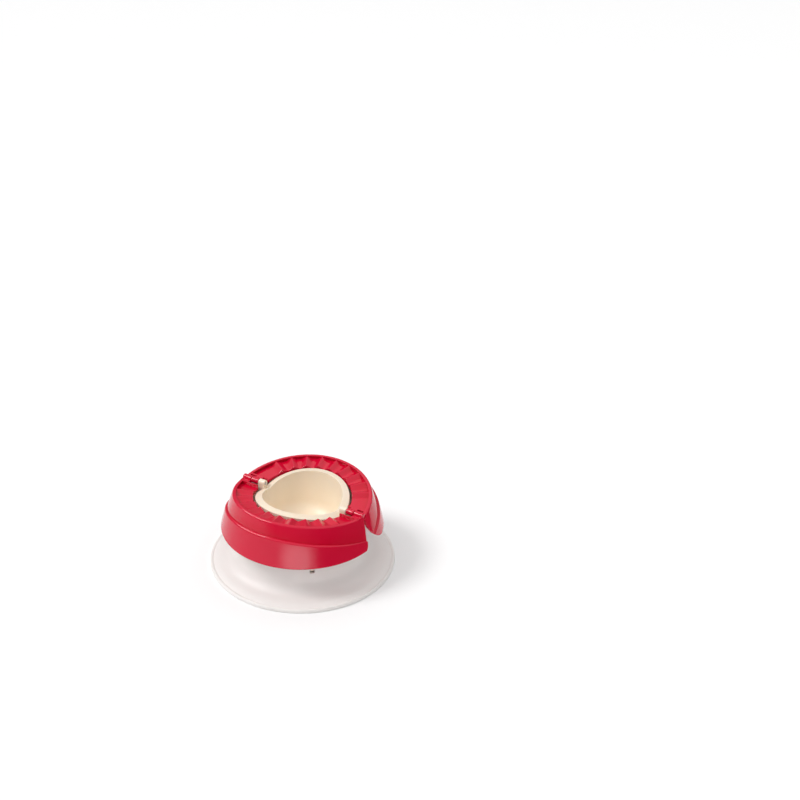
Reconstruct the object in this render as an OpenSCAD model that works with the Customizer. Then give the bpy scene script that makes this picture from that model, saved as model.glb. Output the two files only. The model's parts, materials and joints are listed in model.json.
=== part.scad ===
// Press for half-moon filled pastries. A white stand carries a round well,
// and two half-ring jaws fold up over the well to crimp and seal the dough.
// X runs along the hinge line, the front jaw is on the -Y side, +Z is up,
// and the origin is the centre of the face that the stand rests on.

/* [Stand] */
// Radius of the flange that the stand rests on
flange_r = 63; // [60:0.5:72]
// Height of the flange at its rim, under the bead
flange_rim_h = 2.1; // [1.6:0.1:3]
// Height of the flange where the fillet of the neck begins
flange_root_h = 3.8; // [3.2:0.1:5]
// Height that the rim bead stands above the flange
bead_h = 0.7; // [0.4:0.1:1.2]
// Width of the rim bead
bead_w = 2.2; // [1.6:0.1:3]
// Outer radius of the neck at its foot
neck_foot_r = 45.4; // [45:0.1:46.2]
// Outer radius of the neck at its top edge
neck_top_r = 43.2; // [42.4:0.1:43.6]
// Radius of the hollow corner between neck and flange
neck_fillet_r = 11; // [8:0.5:12]
// Wall thickness of the neck
neck_wall = 2.2; // [1.8:0.1:2.5]
// Height of the seat inside the neck that the well housing stands on
seat_h = 36; // [33:0.5:38]
// Thickness of that seat
seat_t = 2; // [1.5:0.1:3]
// Width of that seat, inwards from the neck wall
seat_w = 2.4; // [1.8:0.1:3]

/* [Well] */
// Radius of the well at its lip
well_r = 26.4; // [23:0.2:27]
// Width of the lip
lip_w = 5.1; // [4.2:0.1:5.4]
// Height of the inner edge of the lip on the hinge line
lip_h = 46.9; // [45.5:0.1:47.2]
// Slope of the lip, up from the hinge line to the front and the back
lip_rise = 14.5; // [10:0.5:15]
// Slope of the top of the lip, down from its inner to its outer edge
lip_fall = 22; // [10:1:30]
// Wall thickness of the well, the lip and its skirt
well_wall = 2; // [1.6:0.1:2.4]
// Height of the well floor above the table
well_floor_h = 23; // [19:0.5:28]
// Radius of the flat part of the well floor
well_floor_r = 12; // [9:0.5:15]
// How far the well wall draws in from lip to floor
well_draft = 2.4; // [1.5:0.1:4]
// Thickness of the deck around the well
deck_t = 2.4; // [2:0.1:3]

/* [Snap tongues] */
// Angle of the first of the four snap tongues from the hinge line
tongue_angle = 49; // [38:1:55]
// Width of a tongue
tongue_w = 4.6; // [3.6:0.1:6]
// Thickness of a tongue
tongue_t = 1.5; // [1.2:0.1:1.8]
// Height of the middle of the barb and of its window in the neck
barb_h = 19.6; // [18.6:0.1:24]
// Height of the window
window_h = 2.4; // [2.2:0.1:3.4]
// Width of the window
window_w = 3; // [2.6:0.1:4]

/* [Jaws] */
// Height of the hinge line above the table
hinge_h = 49.3; // [48.8:0.1:50.5]
// Outer radius of the jaw rim on the hinge line
rim_r = 47.6; // [47.2:0.1:48.6]
// Outer radius of the skirt at its lower edge
skirt_r = 55; // [54:0.2:57]
// Height of the lower edge of the skirt above the table
skirt_edge_h = 28.4; // [26:0.2:30]
// Slope of the open jaws, up from the hinge line
jaw_rise = 8.6; // [7.5:0.1:9.5]
// Wall thickness of the skirt
skirt_wall = 2; // [1.6:0.1:2.2]
// Width of the top of the jaw rim
rim_w = 2.5; // [2.1:0.1:2.8]
// Depth of the crimping face below the rim
face_drop = 2.5; // [2:0.1:2.8]
// Thickness of the plate under the crimping face
plate_t = 2; // [1.6:0.1:2.4]
// Radius of the inner edge of the plate
plate_r = 33; // [32.6:0.1:34]
// Half of the open gap between the two plates at the hinge
plate_gap = 4.7; // [4.4:0.1:5.5]
// Thickness of the upright rib that ends each plate
end_rib_t = 1.2; // [1:0.1:1.8]
// How far the lower part of the skirt stands proud of the upper part, at its ends
ledge_w = 0.9; // [0.5:0.1:1.2]
// Height of that ledge where it would meet the hinge line
ledge_h = 34; // [32:0.5:36]
// Slope of the ledge, up to the middle of the jaw
ledge_rise = 15.6; // [13:0.2:17]
// Lean of the lower part of the skirt from upright
skirt_lean = 14.3; // [12:0.1:17]
// Angle of the front jaw's side of the notch between the skirts, from upright
front_notch_angle = 14; // [10:0.5:17]
// Angle of the back jaw's side of that notch
back_notch_angle = 6; // [4:0.5:10]
// Radius of the lower corner of the front jaw's skirt
front_corner_r = 4; // [2:0.5:8]
// Radius of the lower corner of the back jaw's skirt
back_corner_r = 19; // [12:0.5:20]

/* [Crimping ridges] */
// Angle between neighbouring ridges of one jaw
ridge_pitch = 14.4; // [13.5:0.1:15]
// Width of a ridge at its foot
ridge_w = 7.2; // [5:0.1:7.6]
// Depth of a ridge's crest below the rim
crest_drop = 0.4; // [0.3:0.1:1]
// Ridges on the front jaw
front_ridges = 10; // [8:2:10]
// Ridges on the back jaw
back_ridges = 9; // [7:2:9]

/* [Hinges] */
// Diameter of the hinge pins
pin_d = 2; // [1.6:0.1:2.4]
// Wall around a hinge pin in knuckles and posts
knuckle_wall = 1.2; // [1:0.1:1.4]
// Width of the post that holds a pin
post_w = 4.8; // [4.2:0.1:5.2]
// Width of the back jaw's knuckle
back_knuckle_w = 5.5; // [4.8:0.1:6]
// Length of pin that stands out of the post towards the well
pin_stub = 0.4; // [0.2:0.1:1]
// Depth of plastic that closes the outer knuckle
knuckle_cap = 0.8; // [0.6:0.1:1]

/* [Clearances] */
// Radial clearance of a jaw on its pin
pin_clear = 0.07; // [0.03:0.01:0.1]
// Gap between neighbouring hinge knuckles
side_gap = 0.3; // [0.2:0.05:0.5]
// Gap between a resting jaw and the neck below it
rest_gap = 0.3; // [0.2:0.05:0.5]
// Gap between the two rims when the jaws are shut
shut_gap = 0.3; // [0.2:0.05:0.5]
// Gap between the well housing and the neck around it
housing_gap = 0.15; // [0.1:0.05:0.3]
// Gap on each side of a snap tongue in its slot, and of its barb in the window
tongue_gap = 0.2; // [0.15:0.05:0.4]

/* [Hidden] */
$fn = 96;

far = 200;
pin_r = pin_d / 2;
knuckle_r = pin_r + knuckle_wall;
// where posts, knuckles and pins lie along the hinge line
neck_taper = (neck_foot_r - neck_top_r) / (hinge_h - flange_root_h);
post_x0 = well_r + lip_w - 0.8 * well_wall;
post_x1 = post_x0 + post_w;
back_x0 = post_x1 + side_gap;
back_x1 = back_x0 + back_knuckle_w;
front_x0 = back_x1 + side_gap;
front_x1 = rim_r - 0.2;
pin_x0 = post_x0 - pin_stub;
pin_x1 = front_x1 - knuckle_cap;
// the upper part of the skirt runs from the inner side of the ledge to the rim
ledge_in_r = skirt_r - (ledge_h - skirt_edge_h) * tan(skirt_lean) - ledge_w;
skirt_taper = (ledge_in_r - rim_r) / (hinge_h - ledge_h);
cone_top_h = hinge_h + skirt_r * tan(jaw_rise);
plate_drop = face_drop + plate_t;

function neck_r(h) = neck_top_r + (hinge_h - h) * neck_taper;
function neck_in_r(h) = neck_r(h) - neck_wall;
function upper_r(h) = rim_r + (hinge_h - h) * skirt_taper;
function lower_r(h) = skirt_r - (h - skirt_edge_h) * tan(skirt_lean);
function well_in_r(h) = well_r - (lip_h - h) * well_draft / (lip_h - well_floor_h);
// points of an arc about c, for outlines that are turned into solids
function arc_points(c, r, a0, a1, steps) =
    [for (i = [0 : steps]) let (a = a0 + (a1 - a0) * i / steps) c + r * [cos(a), sin(a)]];

// everything above a plane that crosses the hinge line and rises to the front
module above_front(drop, rise) {
    translate([0, 0, hinge_h]) rotate([-rise, 0, 0]) translate([-far, -far, -drop])
        cube([2 * far, 2 * far, far]);
}

// everything below that plane
module below_front(drop, rise) {
    translate([0, 0, hinge_h]) rotate([-rise, 0, 0]) translate([-far, -far, -drop - far])
        cube([2 * far, 2 * far, far]);
}

// everything above the two planes that rise to the front and the back
module above_both(drop, rise) {
    intersection() {
        above_front(drop, rise);
        mirror([0, 1, 0]) above_front(drop, rise);
    }
}

module front_half() {
    translate([-far, -2 * far, -far]) cube([2 * far, 2 * far, 2 * far]);
}

// round bar along the hinge line between two places on both sides
module hinge_bars(x0, x1, r) {
    for (side = [0, 1]) mirror([side, 0, 0])
        translate([x0, 0, hinge_h]) rotate([0, 90, 0]) cylinder(r = r, h = x1 - x0, $fn = 48);
}

module stand_profile() {
    fillet_c = [neck_r(flange_root_h) + neck_fillet_r, flange_root_h + neck_fillet_r];
    hollow_end = fillet_c + (neck_fillet_r + neck_wall) * [cos(248), sin(248)];
    slope_x = flange_r - bead_w;
    polygon(concat(
        [[hollow_end[0], 0], [flange_r - 0.4, 0], [flange_r, 0.5]],
        arc_points([flange_r - bead_w / 2, flange_rim_h + bead_h - bead_w / 2], bead_w / 2, 0, 90, 4),
        [[slope_x - 0.2, flange_rim_h + 0.2]],
        arc_points(fillet_c, neck_fillet_r, 270, 180, 8),
        [[neck_top_r, hinge_h], [neck_r(cone_top_h), cone_top_h]],
        [[neck_in_r(cone_top_h), cone_top_h], [neck_in_r(seat_h), seat_h]],
        [[neck_in_r(seat_h) - seat_w, seat_h], [neck_in_r(seat_h) - seat_w, seat_h - seat_t]],
        [[neck_in_r(seat_h - seat_t - seat_w), seat_h - seat_t - seat_w]],
        arc_points(fillet_c, neck_fillet_r + neck_wall, 180, 248, 8)
    ));
}

// a block that points outwards at each of the four tongues
module at_tongues() {
    for (side = [0, 1], end = [0, 1]) mirror([side, 0, 0]) mirror([0, end, 0])
        rotate([0, 0, tongue_angle]) children();
}

module stand() {
    color("whitesmoke") difference() {
        rotate_extrude() stand_profile();
        above_both(plate_drop + rest_gap, jaw_rise);
        // windows for the barbs, and slots in the seat for the tongues
        at_tongues() translate([neck_in_r(barb_h) - 1, -window_w / 2, barb_h - window_h / 2])
            cube([neck_wall + 2, window_w, window_h]);
        at_tongues() translate([neck_in_r(seat_h) - seat_w - 1, -tongue_w / 2 - tongue_gap, seat_h - seat_t - seat_w - 1])
            cube([seat_w + 1 + 2 * housing_gap, tongue_w + 2 * tongue_gap, seat_t + seat_w + 1.5]);
    }
}

module housing_profile() {
    deck_r = neck_in_r(seat_h + deck_t) - housing_gap;
    lip_r = well_r + lip_w;
    top = lip_h + lip_r;
    bend = well_in_r(well_floor_h) - well_floor_r;
    polygon(concat(
        [[0, well_floor_h]],
        arc_points([well_floor_r, well_floor_h + bend], bend, 270, 360, 6),
        [[well_r, lip_h], [well_in_r(top), top], [lip_r, top], [lip_r, seat_h + deck_t]],
        [[deck_r, seat_h + deck_t], [deck_r, seat_h], [lip_r - well_wall, seat_h]],
        [[lip_r - well_wall, lip_h - 3 * well_wall], [well_in_r(lip_h) + well_wall, lip_h - 3 * well_wall]],
        arc_points([well_floor_r, well_floor_h + bend], bend + well_wall, 360, 270, 6),
        [[0, well_floor_h - well_wall]]
    ));
}

// cone that gives the front half of the lip its outward fall
module lip_slope() {
    deep = 60;
    translate([0, 0, hinge_h]) rotate([-lip_rise, 0, 0]) translate([0, 0, lip_h - hinge_h - deep])
        cylinder(r1 = well_r + deep / tan(lip_fall), r2 = 1, h = deep + (well_r - 1) * tan(lip_fall));
}

// posts that grow out of the lip and hold the pins
module hinge_posts() {
    for (side = [0, 1]) mirror([side, 0, 0])
        translate([post_x0, -knuckle_r, seat_h + deck_t - 0.5])
            cube([post_w, 2 * knuckle_r, hinge_h - seat_h - deck_t + 0.5]);
    hinge_bars(post_x0, post_x1, knuckle_r);
}

module snap_tongue() {
    tongue_x = neck_in_r(seat_h + deck_t) - housing_gap;
    low = barb_h - window_h / 2 + tongue_gap;
    high = barb_h + window_h / 2 - tongue_gap;
    barb_w = window_w - 2 * tongue_gap;
    tip_x = neck_r(barb_h);
    translate([tongue_x - tongue_t, -tongue_w / 2, low]) cube([tongue_t, tongue_w, seat_h - low + 0.8]);
    // barb, flat on top and sloped below so that it slips in
    translate([0, barb_w / 2, 0]) rotate([90, 0, 0]) linear_extrude(barb_w)
        polygon([[tongue_x - 0.5, low], [tongue_x, low], [tip_x, high - 0.7], [tip_x, high], [tongue_x - 0.5, high]]);
}

module well_housing() {
    color("ivory") difference() {
        union() {
            intersection() {
                rotate_extrude() housing_profile();
                union() {
                    lip_slope();
                    mirror([0, 1, 0]) lip_slope();
                }
            }
            hinge_posts();
            at_tongues() snap_tongue();
        }
        hinge_bars(post_x0 - 1, post_x1 + 1, pin_r);
    }
}

// upper cone of the skirt's outer face, moved outwards by grow
module upper_cone(grow) {
    translate([0, 0, skirt_edge_h]) cylinder(
        r1 = upper_r(skirt_edge_h) + grow,
        r2 = upper_r(cone_top_h) + grow,
        h = cone_top_h - skirt_edge_h);
}

// lower cone, which stands proud under the sloping ledge
module lower_cone(grow) {
    intersection() {
        translate([0, 0, skirt_edge_h]) cylinder(
            r1 = skirt_r + grow,
            r2 = lower_r(cone_top_h) + grow,
            h = cone_top_h - skirt_edge_h);
        below_front(hinge_h - ledge_h - min(grow, 0), ledge_rise);
    }
}

// side view of what the notch takes off a jaw's skirt end, drawn in Y and Z
module notch_outline(angle, corner_r) {
    low = skirt_edge_h - 1;
    edge = -(hinge_h - skirt_edge_h) * tan(angle);
    polygon([[0, hinge_h], [far, hinge_h], [far, low], [edge - tan(angle), low]]);
    // rounding of the lower corner, a hair large so that it crosses both sides cleanly
    centre = [edge - corner_r * tan(45 - angle / 2), skirt_edge_h + corner_r];
    difference() {
        polygon([[centre[0], low], centre, centre + (corner_r + 1) * [cos(angle), -sin(angle)], [edge + 1, low]]);
        translate(centre) circle(r = corner_r + 0.02);
    }
}

module notch(angle, corner_r) {
    rotate([90, 0, 90]) translate([0, 0, -far]) linear_extrude(2 * far) notch_outline(angle, corner_r);
}

// ring of the plate between its inner edge and the rim
module plate_ring() {
    difference() {
        upper_cone(0.2 - rim_w);
        cylinder(r = plate_r, h = far);
    }
}

// crimping ridges, three-sided bars that point at the middle of the well
module ridges(count) {
    last = (count - 1) * ridge_pitch / 2;
    for (a = [-last : ridge_pitch : last + 0.01]) {
        foot = face_drop + plate_t / 2;
        translate([0, 0, hinge_h]) rotate([-jaw_rise, 0, 0]) rotate([0, 0, a]) rotate([90, 0, 0])
            translate([0, 0, plate_r - 4]) linear_extrude(rim_r - plate_r + 4)
                polygon([[-ridge_w / 2, -face_drop], [0, -crest_drop], [ridge_w / 2, -face_drop],
                         [ridge_w / 2, -foot], [-ridge_w / 2, -foot]]);
    }
}

module jaw_body(angle, corner_r, count) {
    difference() {
        union() {
            upper_cone(0);
            lower_cone(0);
        }
        above_front(shut_gap / 2, jaw_rise);
        // hollow under the plate
        intersection() {
            union() {
                upper_cone(-skirt_wall);
                lower_cone(-skirt_wall);
            }
            below_front(plate_drop, jaw_rise);
        }
        // recess that makes the crimping face
        intersection() {
            upper_cone(-rim_w);
            above_front(face_drop, jaw_rise);
        }
        cylinder(r = plate_r, h = far);
        notch(angle, corner_r);
        // open gap between the plates
        gap_x = rim_r - skirt_wall - 1.2;
        translate([-gap_x, -plate_gap, 0]) cube([2 * gap_x, far, far]);
        translate([-far, 0, 0]) cube([2 * far, far, far]);
    }
    intersection() {
        ridges(count);
        plate_ring();
        translate([-far, -far, 0]) cube([2 * far, far - plate_gap, far]);
    }
    // upright rib at the end of the plate
    intersection() {
        plate_ring();
        translate([-far, -plate_gap - end_rib_t, 0]) cube([2 * far, end_rib_t, far]);
        below_front(shut_gap / 2 + 0.1, jaw_rise);
        above_front(plate_drop, jaw_rise);
    }
}

// knuckle with the web that ties it to the jaw
module knuckle(x0, x1) {
    hinge_bars(x0, x1, knuckle_r);
    intersection() {
        for (side = [0, 1]) mirror([side, 0, 0])
            translate([x0, -plate_gap - end_rib_t, hinge_h - knuckle_r])
                cube([x1 - x0, plate_gap + end_rib_t, 2 * knuckle_r]);
        below_front(shut_gap / 2, jaw_rise);
    }
}

module jaw(angle, corner_r, count, x0, x1, keep_x0) {
    difference() {
        union() {
            difference() {
                jaw_body(angle, corner_r, count);
                // room for the other jaw's knuckle
                hinge_bars(keep_x0 - side_gap, keep_x0 + far, knuckle_r + side_gap);
            }
            knuckle(x0, x1);
        }
        hinge_bars(x0 - 1, min(x1 + 1, pin_x1 + side_gap), pin_r + pin_clear);
    }
}

module front_jaw() {
    color("crimson") jaw(front_notch_angle, front_corner_r, front_ridges, front_x0, front_x1, far);
}

module back_jaw() {
    color("crimson") mirror([0, 1, 0])
        jaw(back_notch_angle, back_corner_r, back_ridges, back_x0, back_x1, front_x0);
}

module hinge_pin() {
    translate([pin_x0, 0, hinge_h]) rotate([0, 90, 0]) cylinder(r = pin_r, h = pin_x1 - pin_x0, $fn = 48);
}

module left_hinge_pin() {
    color("silver") mirror([1, 0, 0]) hinge_pin();
}

module right_hinge_pin() {
    color("silver") hinge_pin();
}

stand();
well_housing();
front_jaw();
back_jaw();
left_hinge_pin();
right_hinge_pin();
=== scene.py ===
# Round kitchen press with two folding jaws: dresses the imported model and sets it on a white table.
# All sizes are in metres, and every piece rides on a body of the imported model.
import json
import math
from types import SimpleNamespace

import bmesh
import bpy
from mathutils import Matrix, Vector

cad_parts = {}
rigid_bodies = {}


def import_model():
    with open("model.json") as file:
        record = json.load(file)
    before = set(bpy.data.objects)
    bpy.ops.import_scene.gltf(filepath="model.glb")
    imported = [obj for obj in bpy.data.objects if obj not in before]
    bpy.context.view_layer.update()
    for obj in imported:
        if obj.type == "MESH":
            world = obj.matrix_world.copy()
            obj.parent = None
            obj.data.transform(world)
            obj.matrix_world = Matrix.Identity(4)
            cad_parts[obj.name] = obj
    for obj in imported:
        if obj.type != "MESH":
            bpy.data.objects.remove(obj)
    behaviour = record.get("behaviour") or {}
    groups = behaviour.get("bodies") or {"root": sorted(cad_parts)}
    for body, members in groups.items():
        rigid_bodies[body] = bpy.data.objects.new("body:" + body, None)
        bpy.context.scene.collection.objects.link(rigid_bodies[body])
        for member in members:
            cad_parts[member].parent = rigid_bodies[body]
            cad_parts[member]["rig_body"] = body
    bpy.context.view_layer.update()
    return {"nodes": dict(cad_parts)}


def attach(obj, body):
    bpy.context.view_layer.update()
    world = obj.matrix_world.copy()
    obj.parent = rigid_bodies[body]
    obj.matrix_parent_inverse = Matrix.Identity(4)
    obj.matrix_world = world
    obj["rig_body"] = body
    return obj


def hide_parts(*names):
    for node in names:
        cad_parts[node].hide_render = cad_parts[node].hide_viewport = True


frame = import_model()
nodes = frame["nodes"]

# Sizes of the part's source, by which the roundings find their edges
HINGE_HEIGHT = 0.0493
SHUT_GAP = 0.0003
RIM_RADIUS = 0.0476
RIM_SLOPE = math.tan(math.radians(8.6))
LEDGE_HEIGHT = 0.033415
LEDGE_SLOPE = math.tan(math.radians(15.6))
SKIRT_RADIUS = 0.055
SKIRT_EDGE_HEIGHT = 0.0284
# how much narrower a jaw gets for each metre of height, at its rim and at its skirt
RIM_TAPER = 0.34
SKIRT_TAPER = 0.255

# How closely a point has to match those sizes
HEIGHT_MATCH = 0.0001
RADIUS_MATCH = 0.0003
FOOT_RADIUS_MATCH = 0.0006
# nearer than this to the hinge line the rim keeps its small edge radius
RIM_END_MARGIN = 0.0012


def linear(hex_colour):
    """An sRGB hex value as the linear colour that a shader takes."""
    parts = [int(hex_colour[i : i + 2], 16) / 255 for i in (1, 3, 5)]
    levels = [p / 12.92 if p <= 0.04045 else ((p + 0.055) / 1.055) ** 2.4 for p in parts]
    return (*levels, 1.0)


def add_node(tree, kind, settings=None, **links):
    """Adds one shader node.

    Settings are its own properties, and links are values or sockets for its inputs.
    An input is named, or it is numbered as at_0, at_1 and so on.
    """
    made = tree.nodes.new(kind)
    for name, value in (settings or {}).items():
        setattr(made, name, value)
    for name, value in links.items():
        key = int(name[3:]) if name.startswith("at_") else name.replace("_", " ")
        if isinstance(value, bpy.types.NodeSocket):
            tree.links.new(value, made.inputs[key])
        else:
            made.inputs[key].default_value = value
    return made


def set_constants(node, **values):
    """Sets inputs that are the same all over the surface."""
    for name, value in values.items():
        node.inputs[name.replace("_", " ")].default_value = value


def empty_material(name):
    material = bpy.data.materials.new(name)
    material.use_nodes = True
    material.node_tree.nodes.clear()
    return material, material.node_tree


def new_material(name):
    """A material with one Principled shader."""
    material, tree = empty_material(name)
    shader = add_node(tree, "ShaderNodeBsdfPrincipled")
    add_node(tree, "ShaderNodeOutputMaterial", Surface=shader.outputs["BSDF"])
    return material, tree, shader


def new_object(name, form):
    """A mesh object at the origin, made from a bmesh that isn't needed any more."""
    mesh = bpy.data.meshes.new(name)
    form.to_mesh(mesh)
    form.free()
    made = bpy.data.objects.new(name, mesh)
    bpy.context.scene.collection.objects.link(made)
    return made


def final_mesh(piece):
    """The mesh of an object with its modifiers applied."""
    depsgraph = bpy.context.evaluated_depsgraph_get()
    return bpy.data.meshes.new_from_object(piece.evaluated_get(depsgraph), depsgraph=depsgraph)


# Rounded edges
# A moulded part has no knife edges: each outer edge has a radius of about 0.3 mm,
# and the rim of a jaw and the foot and shoulder of its skirt are rounder still.
EDGE_RADIUS = 0.00032
PIN_EDGE_RADIUS = 0.0002
RIM_EDGE_RADIUS = 0.0011
LOWER_EDGE_RADIUS = 0.0007
SHOULDER_RADIUS_END = 0.0007
SHOULDER_RADIUS_MIDDLE = 0.0017
EDGE_SEGMENTS = 2
RIM_SEGMENTS = 4
LOWER_EDGE_SEGMENTS = 3
SHOULDER_SEGMENTS = 4
# an edge that turns more than this is rounded, and one that turns more than the second shades sharp
SHARP_ANGLE = math.radians(28)
SHADING_ANGLE = math.radians(36)

# Merging and evening of a CAD mesh before its edges are rounded
MERGE_DISTANCE = 0.000002
FLAT_ANGLE = math.radians(0.1)
# planes through the upright axis: few through everything, more through the walls turned about it
COARSE_CUTS = 24
WALL_CUTS = 72
CUT_TOLERANCE = 0.00002
STRIP_JOINT_ANGLE = math.radians(8)
EDGE_POINT_ANGLE = math.radians(4)
# a wall turned about the axis: how level its normal is, and how far out it lies
WALL_LEVEL = 0.8
WALL_REACH = 0.02
# how far it may look away from straight out, before the strips are evened and after
ROUGH_WALL_COSINE = math.cos(math.radians(20))
ROUND_WALL_COSINE = math.cos(math.radians(5))
# below these the direction away from the axis says nothing
LEAST_LEVEL = 0.1
LEAST_REACH = 0.006


def is_outer_edge(edge):
    return edge.is_manifold and edge.is_convex and edge.calc_face_angle(0) > SHARP_ANGLE


def is_rim_edge(edge):
    """The edge between the top of a jaw's rim and the outside of its skirt."""
    for vert in edge.verts:
        x, y, z = vert.co
        rise = abs(y) * RIM_SLOPE
        if abs(z - HINGE_HEIGHT + SHUT_GAP / 2 - rise) > HEIGHT_MATCH or abs(y) < RIM_END_MARGIN:
            return False
        if math.hypot(x, y) < RIM_RADIUS - rise * RIM_TAPER - RADIUS_MATCH:
            return False
    return True


def is_shoulder_edge(edge):
    """The outer edge of the sloping ledge round a jaw's skirt."""
    for vert in edge.verts:
        x, y, z = vert.co
        if abs(z - LEDGE_HEIGHT - abs(y) * LEDGE_SLOPE) > HEIGHT_MATCH:
            return False
        radius = SKIRT_RADIUS - (z - SKIRT_EDGE_HEIGHT) * SKIRT_TAPER
        if math.hypot(x, y) < radius - RADIUS_MATCH:
            return False
    return True


def is_lower_edge(edge):
    """The outer edge at the foot of a jaw's skirt."""
    for vert in edge.verts:
        x, y, z = vert.co
        if abs(z - SKIRT_EDGE_HEIGHT) >= HEIGHT_MATCH:
            return False
        if math.hypot(x, y) <= SKIRT_RADIUS - FOOT_RADIUS_MATCH:
            return False
    return True


def wall_turn(normal, centre):
    """How straight a face looks away from the upright axis.

    It is 1 for a wall turned about the axis, -1 where that wall looks inwards, and less for others.
    """
    level, reach = math.hypot(normal.x, normal.y), math.hypot(centre.x, centre.y)
    if level < LEAST_LEVEL or reach < LEAST_REACH:
        return 0.0
    return (normal.x * centre.x + normal.y * centre.y) / (level * reach)


def is_round_wall(face):
    centre = face.calc_center_median()
    steep = math.hypot(face.normal.x, face.normal.y) > WALL_LEVEL
    far_out = math.hypot(centre.x, centre.y) > WALL_REACH
    return steep and far_out and abs(wall_turn(face.normal, centre)) > ROUGH_WALL_COSINE


def once(items):
    """The items as a list, each of them once, in the same order on every run."""
    return list(dict.fromkeys(items))


def cut_round(form, cuts, is_chosen=lambda face: True):
    """Cuts the chosen faces by upright planes through the axis, and marks the cuts as seams."""
    for step in range(cuts):
        turn = math.pi * (step + 0.5) / cuts
        faces = [face for face in form.faces if is_chosen(face)]
        edges = once(edge for face in faces for edge in face.edges)
        verts = once(vert for face in faces for vert in face.verts)
        made = bmesh.ops.bisect_plane(
            form, geom=verts + edges + faces, dist=CUT_TOLERANCE,
            plane_co=(0, 0, 0), plane_no=(math.sin(turn), -math.cos(turn), 0),
        )
        for item in made["geom_cut"]:
            if isinstance(item, bmesh.types.BMEdge):
                item.seam = True


def even_round_walls(form):
    """Makes each wall turned about the axis a row of equal upright strips.

    Its upper and lower edges then round cleanly.
    """
    cut_round(form, WALL_CUTS, is_round_wall)
    walls = [face for face in form.faces if is_round_wall(face)]
    inside = set(walls)
    # between the cuts, a strip is one face
    bmesh.ops.dissolve_limit(
        form, angle_limit=STRIP_JOINT_ANGLE, use_dissolve_boundaries=False, delimit={"SEAM"},
        verts=once(vert for face in walls for vert in face.verts),
        edges=once(
            edge for face in walls for edge in face.edges if inside.issuperset(edge.link_faces)
        ),
    )
    # the walls' upper and lower edges keep only the points at the cuts
    walls = [face for face in form.faces if is_round_wall(face)]
    bmesh.ops.dissolve_limit(
        form, angle_limit=EDGE_POINT_ANGLE, use_dissolve_boundaries=True, delimit={"SEAM"},
        verts=once(vert for face in walls for vert in face.verts), edges=[],
    )
    bmesh.ops.connect_verts_concave(form, faces=form.faces)


def mark_rounded(form, faces):
    """Marks the faces of a rounding for the finishes, which polish them."""
    mark = form.verts.layers.float["rounded_edge"]
    for face in faces:
        for vert in face.verts:
            vert[mark] = 1.0


def round_edges(form, is_chosen, radius, segments):
    made = bmesh.ops.bevel(
        form, geom=[edge for edge in form.edges if is_outer_edge(edge) and is_chosen(edge)],
        offset=radius, offset_type="OFFSET", affect="EDGES", segments=segments, profile=0.5,
        material=-1, clamp_overlap=False, loop_slide=True,
    )
    mark_rounded(form, made["faces"])


def round_shoulder(form):
    """Rounds the shoulder of a jaw's skirt, wider towards the middle of the jaw.

    The ledge is wider there. A Bevel modifier is used because it takes a width for each edge.
    """
    weight = form.edges.layers.float.new("bevel_weight_edge")
    for edge in [e for e in form.edges if is_outer_edge(e) and is_shoulder_edge(e)]:
        share = min(abs(edge.verts[0].co.y + edge.verts[1].co.y) / 2 / SKIRT_RADIUS, 1.0)
        radius = SHOULDER_RADIUS_END + (SHOULDER_RADIUS_MIDDLE - SHOULDER_RADIUS_END) * share
        edge[weight] = radius / SHOULDER_RADIUS_MIDDLE
    draft = new_object("shoulder_draft", form)
    rounding = draft.modifiers.new("shoulder", "BEVEL")
    rounding.limit_method, rounding.use_clamp_overlap = "WEIGHT", False
    rounding.width, rounding.segments = SHOULDER_RADIUS_MIDDLE, SHOULDER_SEGMENTS
    # a second, empty material slot tells the new faces from the old ones
    for _ in range(2):
        draft.data.materials.append(None)
    rounding.material = 1
    form = bmesh.new()
    form.from_mesh(final_mesh(draft))
    bpy.data.objects.remove(draft)
    new_faces = [face for face in form.faces if face.material_index == 1]
    for face in new_faces:
        face.material_index = 0
    mark_rounded(form, new_faces)
    return form


def shade_round_walls(piece):
    """Makes the shading normals of walls turned about the upright axis point straight away from it.

    The walls are long flat strips, and a glossy finish would show their joints as fine lines.
    """
    mesh = final_mesh(piece)
    piece.modifiers.clear()
    piece.data = mesh
    normals = [Vector(corner.vector) for corner in mesh.corner_normals]
    for polygon in mesh.polygons:
        outwards = wall_turn(polygon.normal, polygon.center)
        if abs(outwards) < ROUND_WALL_COSINE:
            continue
        for corner in polygon.loop_indices:
            x, y, _ = mesh.vertices[mesh.loops[corner].vertex_index].co
            old = normals[corner]
            share = math.copysign(math.hypot(old.x, old.y), outwards) / math.hypot(x, y)
            normals[corner] = Vector((x * share, y * share, old.z))
    mesh.normals_split_custom_set(normals)


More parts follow.
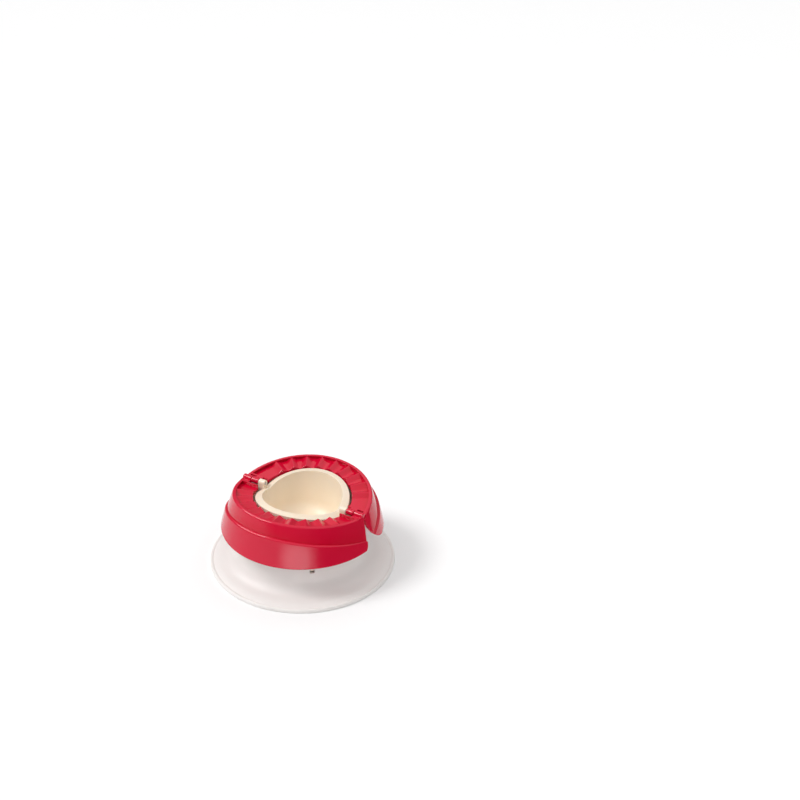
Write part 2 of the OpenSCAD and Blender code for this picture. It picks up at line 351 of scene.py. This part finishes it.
def rounded_piece(node, name, material, edge_radius=EDGE_RADIUS, is_jaw=False):
    """A merged copy of a CAD node with rounded outer edges, which stands for that node."""
    form = bmesh.new()
    form.from_mesh(nodes[node].data)
    bmesh.ops.remove_doubles(form, verts=form.verts, dist=MERGE_DISTANCE)
    bmesh.ops.dissolve_limit(
        form, angle_limit=FLAT_ANGLE, use_dissolve_boundaries=False,
        verts=form.verts, edges=form.edges, delimit=set(),
    )
    # cuts all round, so that no flat ring is one large face
    cut_round(form, COARSE_CUTS)
    even_round_walls(form)
    form.verts.layers.float.new("rounded_edge")
    if is_jaw:
        form = round_shoulder(form)
        round_edges(form, is_rim_edge, RIM_EDGE_RADIUS, RIM_SEGMENTS)
        round_edges(form, is_lower_edge, LOWER_EDGE_RADIUS, LOWER_EDGE_SEGMENTS)
    round_edges(form, lambda edge: True, edge_radius, EDGE_SEGMENTS)
    bmesh.ops.connect_verts_concave(form, faces=form.faces)
    for face in form.faces:
        face.smooth = True
    for edge in form.edges:
        edge.smooth = not edge.is_manifold or edge.calc_face_angle(0) < SHADING_ANGLE
    piece = new_object(name, form)
    piece.data.materials.append(material)
    shading = piece.modifiers.new("even_shading", "WEIGHTED_NORMAL")
    shading.keep_sharp = True
    shade_round_walls(piece)
    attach(piece, nodes[node]["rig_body"])
    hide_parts(node)


# Finishes
# Scales of the mouldings' patterns, in repeats per metre, with the sizes that they give
FLOW_SCALE = 40.0  # colour drift, patches of about 25 mm
CLOUD_SCALE = 110.0  # gloss clouds of about 9 mm
MARK_SCALE = (66.0, 3300.0, 3300.0)  # marks of use, 15 mm long and 0.3 mm wide
USED_SCALE = 30.0  # used patches of about 33 mm, which hold the marks
SKIN_SCALE = 900.0  # ripple of the moulded skin, 1.1 mm
MARK_TURNS = ((0.3, 0.2, 0.6), (-0.4, 0.5, 2.1))
# how strongly each of them shows
EDGE_WEAR = 0.35
EDGE_POLISH = 0.06
CLOUD_POLISH, CLOUD_DULLING = 0.035, 0.045
MARK_DULLING = 0.1
MARK_DEPTH = 0.2
# noise values between which a mark, a used patch and a gloss cloud come in
MARK_RANGE = (0.72, 0.84)
USED_RANGE = (0.5, 0.62)
CLOUD_RANGE = (0.3, 0.7)


def moulded_plastic(name, colour, deep_colour, edge_colour, roughness, skin_height, **constants):
    """Injection-moulded plastic, the base of the three mouldings' finishes.

    The colour drifts a little where the melt flowed, the skin has a faint ripple of about 1 mm,
    use leaves hair-fine marks of about 15 mm, and it polishes the rounded edges.
    """
    material, tree, shader = new_material(name)
    place = add_node(tree, "ShaderNodeTexCoord").outputs["Object"]
    edge_mark = add_node(tree, "ShaderNodeAttribute", {"attribute_name": "rounded_edge"})
    edge_mark = edge_mark.outputs["Fac"]
    # colour drift, and the paler edges
    flow = add_node(tree, "ShaderNodeTexNoise", Vector=place, Scale=FLOW_SCALE, Detail=3.0,
                    Roughness=0.55)
    tint = add_node(tree, "ShaderNodeMix", {"data_type": "RGBA"}, Factor=flow.outputs["Fac"],
                    A=linear(colour), B=linear(deep_colour))
    worn = add_node(tree, "ShaderNodeMath", {"operation": "MULTIPLY"}, at_0=edge_mark,
                    at_1=EDGE_WEAR)
    edged = add_node(tree, "ShaderNodeMix", {"data_type": "RGBA"}, Factor=worn.outputs["Value"],
                     A=tint.outputs["Result"], B=linear(edge_colour))
    tree.links.new(edged.outputs["Result"], shader.inputs["Base Color"])
    # gloss clouds, where the mould's polish differs
    cloud = add_node(tree, "ShaderNodeTexNoise", Vector=place, Scale=CLOUD_SCALE, Detail=4.0,
                     Roughness=0.6)
    gloss = add_node(tree, "ShaderNodeMapRange", Value=cloud.outputs["Fac"],
                     From_Min=CLOUD_RANGE[0], From_Max=CLOUD_RANGE[1],
                     To_Min=roughness - CLOUD_POLISH, To_Max=roughness + CLOUD_DULLING)
    # marks of use in two directions, kept to the used patches
    crossing = []
    for turn in MARK_TURNS:
        turned = add_node(tree, "ShaderNodeMapping", Vector=place, Rotation=turn, Scale=MARK_SCALE)
        streak = add_node(tree, "ShaderNodeTexNoise", Vector=turned.outputs["Vector"], Scale=1.0,
                          Detail=1.0)
        mark = add_node(tree, "ShaderNodeMapRange", Value=streak.outputs["Fac"],
                        From_Min=MARK_RANGE[0], From_Max=MARK_RANGE[1])
        crossing.append(mark.outputs["Result"])
    marks = add_node(tree, "ShaderNodeMath", {"operation": "MAXIMUM"}, at_0=crossing[0],
                     at_1=crossing[1])
    used = add_node(tree, "ShaderNodeTexNoise", Vector=place, Scale=USED_SCALE, Detail=1.0)
    patch = add_node(tree, "ShaderNodeMapRange", Value=used.outputs["Fac"],
                     From_Min=USED_RANGE[0], From_Max=USED_RANGE[1])
    marks = add_node(tree, "ShaderNodeMath", {"operation": "MULTIPLY"},
                     at_0=marks.outputs["Value"], at_1=patch.outputs["Result"])
    scuffed = add_node(tree, "ShaderNodeMath", {"operation": "MULTIPLY_ADD"},
                       at_0=marks.outputs["Value"], at_1=MARK_DULLING,
                       at_2=gloss.outputs["Result"])
    polished = add_node(tree, "ShaderNodeMath", {"operation": "MULTIPLY_ADD"}, at_0=edge_mark,
                        at_1=-EDGE_POLISH, at_2=scuffed.outputs["Value"])
    tree.links.new(polished.outputs["Value"], shader.inputs["Roughness"])
    # the moulded skin, with the marks as shallow grooves
    skin = add_node(tree, "ShaderNodeTexNoise", Vector=place, Scale=SKIN_SCALE, Detail=2.0,
                    Roughness=0.5)
    height = add_node(tree, "ShaderNodeMath", {"operation": "MULTIPLY_ADD"},
                      at_0=marks.outputs["Value"], at_1=-MARK_DEPTH, at_2=skin.outputs["Fac"])
    bump = add_node(tree, "ShaderNodeBump", Strength=1.0, Distance=skin_height,
                    Height=height.outputs["Value"])
    tree.links.new(bump.outputs["Normal"], shader.inputs["Normal"])
    set_constants(shader, **constants)
    return material


# Glossy red ABS, moulded in a polished tool: deep even red, pink where it mirrors the white table
red_plastic = moulded_plastic(
    "red_abs_polished_mould", "#D2062E", "#C80429", "#DA1C44", roughness=0.12,
    skin_height=0.0000015, IOR=1.42,
)

# White ABS of the stand: a warm white with a soft gloss
white_plastic = moulded_plastic(
    "white_abs_moulded", "#F3EFEC", "#F0EBE8", "#F7F4F2", roughness=0.45,
    skin_height=0.000005, IOR=1.5,
)

# Ivory polypropylene of the well: creamy, a little waxy, so light goes a short way into it
ivory_plastic = moulded_plastic(
    "ivory_polypropylene_moulded", "#F5E6D0", "#F1E0C8", "#F8EBD8", roughness=0.36,
    skin_height=0.000008, IOR=1.49,
    Subsurface_Weight=0.12, Subsurface_Radius=(1.0, 0.7, 0.45), Subsurface_Scale=0.0015,
)

# Drawn stainless steel of the pins: grey metal with fine lines along the pin
pin_steel, tree, shader = new_material("stainless_steel_drawn")
place = add_node(tree, "ShaderNodeTexCoord").outputs["Object"]
# drawing lines, 0.1 mm apart in the real wire and 0.2 mm here so that they show
lined = add_node(tree, "ShaderNodeMapping", Vector=place, Scale=(150.0, 5000.0, 5000.0))
lines = add_node(tree, "ShaderNodeTexNoise", Vector=lined.outputs["Vector"], Scale=1.0, Detail=2.0)
lines = lines.outputs["Fac"]
steel_tint = add_node(tree, "ShaderNodeMix", {"data_type": "RGBA"}, Factor=lines,
                      A=linear("#B4B5B8"), B=linear("#D0D1D3"))
steel_gloss = add_node(tree, "ShaderNodeMapRange", Value=lines, From_Min=0.3, From_Max=0.7,
                       To_Min=0.2, To_Max=0.34)
steel_bump = add_node(tree, "ShaderNodeBump", Strength=1.0, Distance=0.000004, Height=lines)
tree.links.new(steel_tint.outputs["Result"], shader.inputs["Base Color"])
tree.links.new(steel_gloss.outputs["Result"], shader.inputs["Roughness"])
tree.links.new(steel_bump.outputs["Normal"], shader.inputs["Normal"])
set_constants(shader, Metallic=1.0)

# Pieces
rounded_piece("stand", "stand_moulding", white_plastic)
rounded_piece("well_housing", "well_moulding", ivory_plastic)
rounded_piece("front_jaw", "front_jaw_moulding", red_plastic, is_jaw=True)
rounded_piece("back_jaw", "back_jaw_moulding", red_plastic, is_jaw=True)
for side in ("left", "right"):
    rounded_piece(f"{side}_hinge_pin", f"{side}_pin", pin_steel,
                  edge_radius=PIN_EDGE_RADIUS)

# Camera: 54 mm lens on a 36 mm frame, turned and tipped as the photograph's view
CAMERA_PLACE = (0.3770, -0.5674, 0.4826)
heading, level_right = Vector((-0.4741, 0.8805, 0.0)), Vector((0.8805, 0.4741, 0.0))
pitch, roll = 0.486, 0.0338
forward = heading * math.cos(pitch) - Vector((0, 0, math.sin(pitch)))
level_up = heading * math.sin(pitch) + Vector((0, 0, math.cos(pitch)))
right = level_right * math.cos(roll) + level_up * math.sin(roll)
up = level_up * math.cos(roll) - level_right * math.sin(roll)
camera_data = bpy.data.cameras.new("photo_camera")
camera_data.lens, camera_data.sensor_width = 54.0, 36.0
camera_data.clip_start = 0.01
camera = bpy.data.objects.new("photo_camera", camera_data)
bpy.context.scene.collection.objects.link(camera)
camera_turn = Matrix((right, up, -forward)).transposed().to_4x4()
camera.matrix_world = Matrix.Translation(CAMERA_PLACE) @ camera_turn
bpy.context.scene.camera = camera

# Table top, 7 m square so that it fills the view
table_form = bmesh.new()
bmesh.ops.create_grid(table_form, x_segments=1, y_segments=1, size=3.5)
table = new_object("table_top", table_form)
# White melamine, matt, with a barely seen mottle of about 6 mm
white_melamine, tree, shader = new_material("white_melamine_matt")
place = add_node(tree, "ShaderNodeTexCoord").outputs["Object"]
mottle = add_node(tree, "ShaderNodeTexNoise", Vector=place, Scale=180.0, Detail=2.0)
table_tint = add_node(tree, "ShaderNodeMix", {"data_type": "RGBA"}, Factor=mottle.outputs["Fac"],
                      A=linear("#FAFAFA"), B=linear("#FBFBFB"))
tree.links.new(table_tint.outputs["Result"], shader.inputs["Base Color"])
set_constants(shader, Roughness=0.6, Specular_IOR_Level=0.1)
table.data.materials.append(white_melamine)

# Lamp: one soft window far away at the front left. The world gives the rest of the light
azimuth, elevation = math.radians(-140), math.radians(50)
lamp_data = bpy.data.lights.new("window_front_left", "SUN")
lamp_data.angle, lamp_data.energy = math.radians(20), 1.25
lamp = bpy.data.objects.new("window_front_left", lamp_data)
bpy.context.scene.collection.objects.link(lamp)
towards_lamp = Vector((
    math.cos(azimuth) * math.cos(elevation), math.sin(azimuth) * math.cos(elevation),
    math.sin(elevation),
))
lamp.rotation_euler = towards_lamp.to_track_quat("Z", "Y").to_euler()

# Cards and room walls that only reflections see
ROOM_RADIUS = 3.0
ROOM_HEIGHT = 2.6


def new_film(name):
    """A film for a card: it lets light through as far as its colour allows, and it can glow."""
    material, tree = empty_material(name)
    place = add_node(tree, "ShaderNodeTexCoord").outputs["Object"]
    film = add_node(tree, "ShaderNodeBsdfTransparent")
    glow = add_node(tree, "ShaderNodeEmission", Strength=0.0)
    both = add_node(tree, "ShaderNodeAddShader", at_0=film.outputs["BSDF"],
                    at_1=glow.outputs["Emission"])
    add_node(tree, "ShaderNodeOutputMaterial", Surface=both.outputs["Shader"])
    return SimpleNamespace(material=material, tree=tree, place=place, film=film, glow=glow)


def set_ramp(ramp, steps):
    """Gives a colour ramp its steps, each a share of the way and its grey level."""
    while len(ramp.color_ramp.elements) < len(steps):
        ramp.color_ramp.elements.new(0.5)
    for element, (position, level) in zip(ramp.color_ramp.elements, steps):
        element.position, element.color = position, (level, level, level, 1.0)


def levels_along(film, axis, low, high, steps):
    """Grey levels between two places along an axis."""
    along = add_node(film.tree, "ShaderNodeSeparateXYZ", Vector=film.place).outputs[axis]
    share = add_node(film.tree, "ShaderNodeMapRange", Value=along, From_Min=low, From_Max=high)
    levels = add_node(film.tree, "ShaderNodeValToRGB", Fac=share.outputs["Result"])
    set_ramp(levels, steps)
    return levels.outputs["Color"]


def mirrored_only(name, form, film):
    """Sets up a card or wall that nothing but reflections sees."""
    card = new_object(name, form)
    card.data.materials.append(film.material)
    card.visible_camera = card.visible_diffuse = card.visible_shadow = False


def upright_card(width, height, centre, azimuth):
    """A flat upright card that faces an azimuth, in degrees."""
    form = bmesh.new()
    bmesh.ops.create_grid(form, x_segments=1, y_segments=1, size=0.5)
    bmesh.ops.scale(form, verts=form.verts, vec=(width, height, 1.0))
    stood_up = Matrix.Rotation(math.pi / 2, 3, "X")
    turned = Matrix.Rotation(math.radians(azimuth + 90), 3, "Z")
    bmesh.ops.rotate(form, verts=form.verts, cent=(0, 0, 0), matrix=turned @ stood_up)
    bmesh.ops.translate(form, verts=form.verts, vec=centre)
    return form


# Painted shade in reflections: a dark film on the right that only reflections see, clear at its near
# end, so that the skirt turns deep red towards its right end
painted_dark_reflection = new_film("painted_dark_reflection_film")
reflection_darkening = levels_along(painted_dark_reflection, "Y", low=-0.17, high=-0.08,
                     steps=((0.0, 1.0), (0.35, 0.75), (1.0, 0.06)))
painted_dark_reflection.tree.links.new(reflection_darkening, painted_dark_reflection.film.inputs["Color"])
side_card = upright_card(width=0.39, height=0.1, centre=(0.125, 0.02, 0.052), azimuth=0)
mirrored_only("painted_dark_reflection_card", side_card, painted_dark_reflection)

# Soft glow low in front, which the skirt mirrors as a pale pink patch
soft = new_film("soft_white_glow")
round_place = add_node(soft.tree, "ShaderNodeMapping", {"vector_type": "TEXTURE"},
                       Vector=soft.place, Location=(0.0906, -0.172, 0.016), Scale=(0.1, 0.1, 0.03))
falloff = add_node(soft.tree, "ShaderNodeTexGradient", {"gradient_type": "SPHERICAL"},
                   Vector=round_place.outputs["Vector"])
strength = add_node(soft.tree, "ShaderNodeMapRange", {"interpolation_type": "SMOOTHSTEP"},
                    Value=falloff.outputs["Fac"], From_Max=0.75, To_Max=2.7)
soft.tree.links.new(strength.outputs["Result"], soft.glow.inputs["Strength"])
glow_card = upright_card(width=0.2, height=0.044, centre=(0.0906, -0.172, 0.024), azimuth=-63)
mirrored_only("soft_glow_card", glow_card, soft)

# Tall bright window on the left, which rounded edges mirror as pale streaks
window = new_film("bright_window")
set_constants(window.glow, Strength=9.0)
pane = upright_card(width=0.36, height=0.36, centre=(-0.707, -0.23, 0.669), azimuth=-162)
mirrored_only("left_window", pane, window)

# Painted room light: walls round the table that only reflections see and that glow, dark just above
# the horizon and bright towards the top, so that gloss sees a grey band of room
room_light_glow = new_film("painted_room_light")
room_light_levels = levels_along(room_light_glow, "Z", low=0.0, high=ROOM_HEIGHT,
                           steps=((0.0, 0.77), (0.0185, 0.15), (0.39, 0.2), (0.96, 1.0)))
room_light_glow.tree.links.new(room_light_levels, room_light_glow.glow.inputs["Color"])
set_constants(room_light_glow.film, Color=(0.0, 0.0, 0.0, 1.0))
set_constants(room_light_glow.glow, Strength=1.0)
wall_form = bmesh.new()
bmesh.ops.create_cone(wall_form, segments=96, radius1=ROOM_RADIUS, radius2=ROOM_RADIUS,
                      depth=ROOM_HEIGHT, cap_ends=False)
bmesh.ops.translate(wall_form, verts=wall_form.verts, vec=(0, 0, ROOM_HEIGHT / 2))
mirrored_only("glowing_room_wall", wall_form, room_light_glow)

# Studio: plain white to the camera, to gloss and to glass. The light that falls on the press
# comes from the white table level and ceiling, with a greyer band of room between them
world = bpy.data.worlds.new("studio")
world.use_nodes = True
bpy.context.scene.world = world
tree = world.node_tree
tree.nodes.clear()
direction = add_node(tree, "ShaderNodeTexCoord").outputs["Generated"]
rise = add_node(tree, "ShaderNodeSeparateXYZ", Vector=direction).outputs["Z"]
# from straight down at 0 to straight up at 1
rise_share = add_node(tree, "ShaderNodeMath", {"operation": "MULTIPLY_ADD"}, at_0=rise, at_1=0.5,
                      at_2=0.5)
room = add_node(tree, "ShaderNodeValToRGB", Fac=rise_share.outputs["Value"])
set_ramp(room, ((0.497, 0.98), (0.508, 0.147), (0.66, 0.196), (0.82, 0.98)))
rays = add_node(tree, "ShaderNodeLightPath").outputs
seen = add_node(tree, "ShaderNodeMath", {"operation": "MAXIMUM"}, at_0=rays["Is Camera Ray"],
                at_1=rays["Is Glossy Ray"])
seen = add_node(tree, "ShaderNodeMath", {"operation": "MAXIMUM"}, at_0=seen.outputs["Value"],
                at_1=rays["Is Transmission Ray"])
backdrop = add_node(tree, "ShaderNodeMix", {"data_type": "RGBA"}, Factor=seen.outputs["Value"],
                    A=room.outputs["Color"], B=linear("#FFFFFF"))
background = add_node(tree, "ShaderNodeBackground", Color=backdrop.outputs["Result"], Strength=1.0)
add_node(tree, "ShaderNodeOutputWorld", Surface=background.outputs["Background"])

bpy.context.scene.view_settings.view_transform = "Standard"
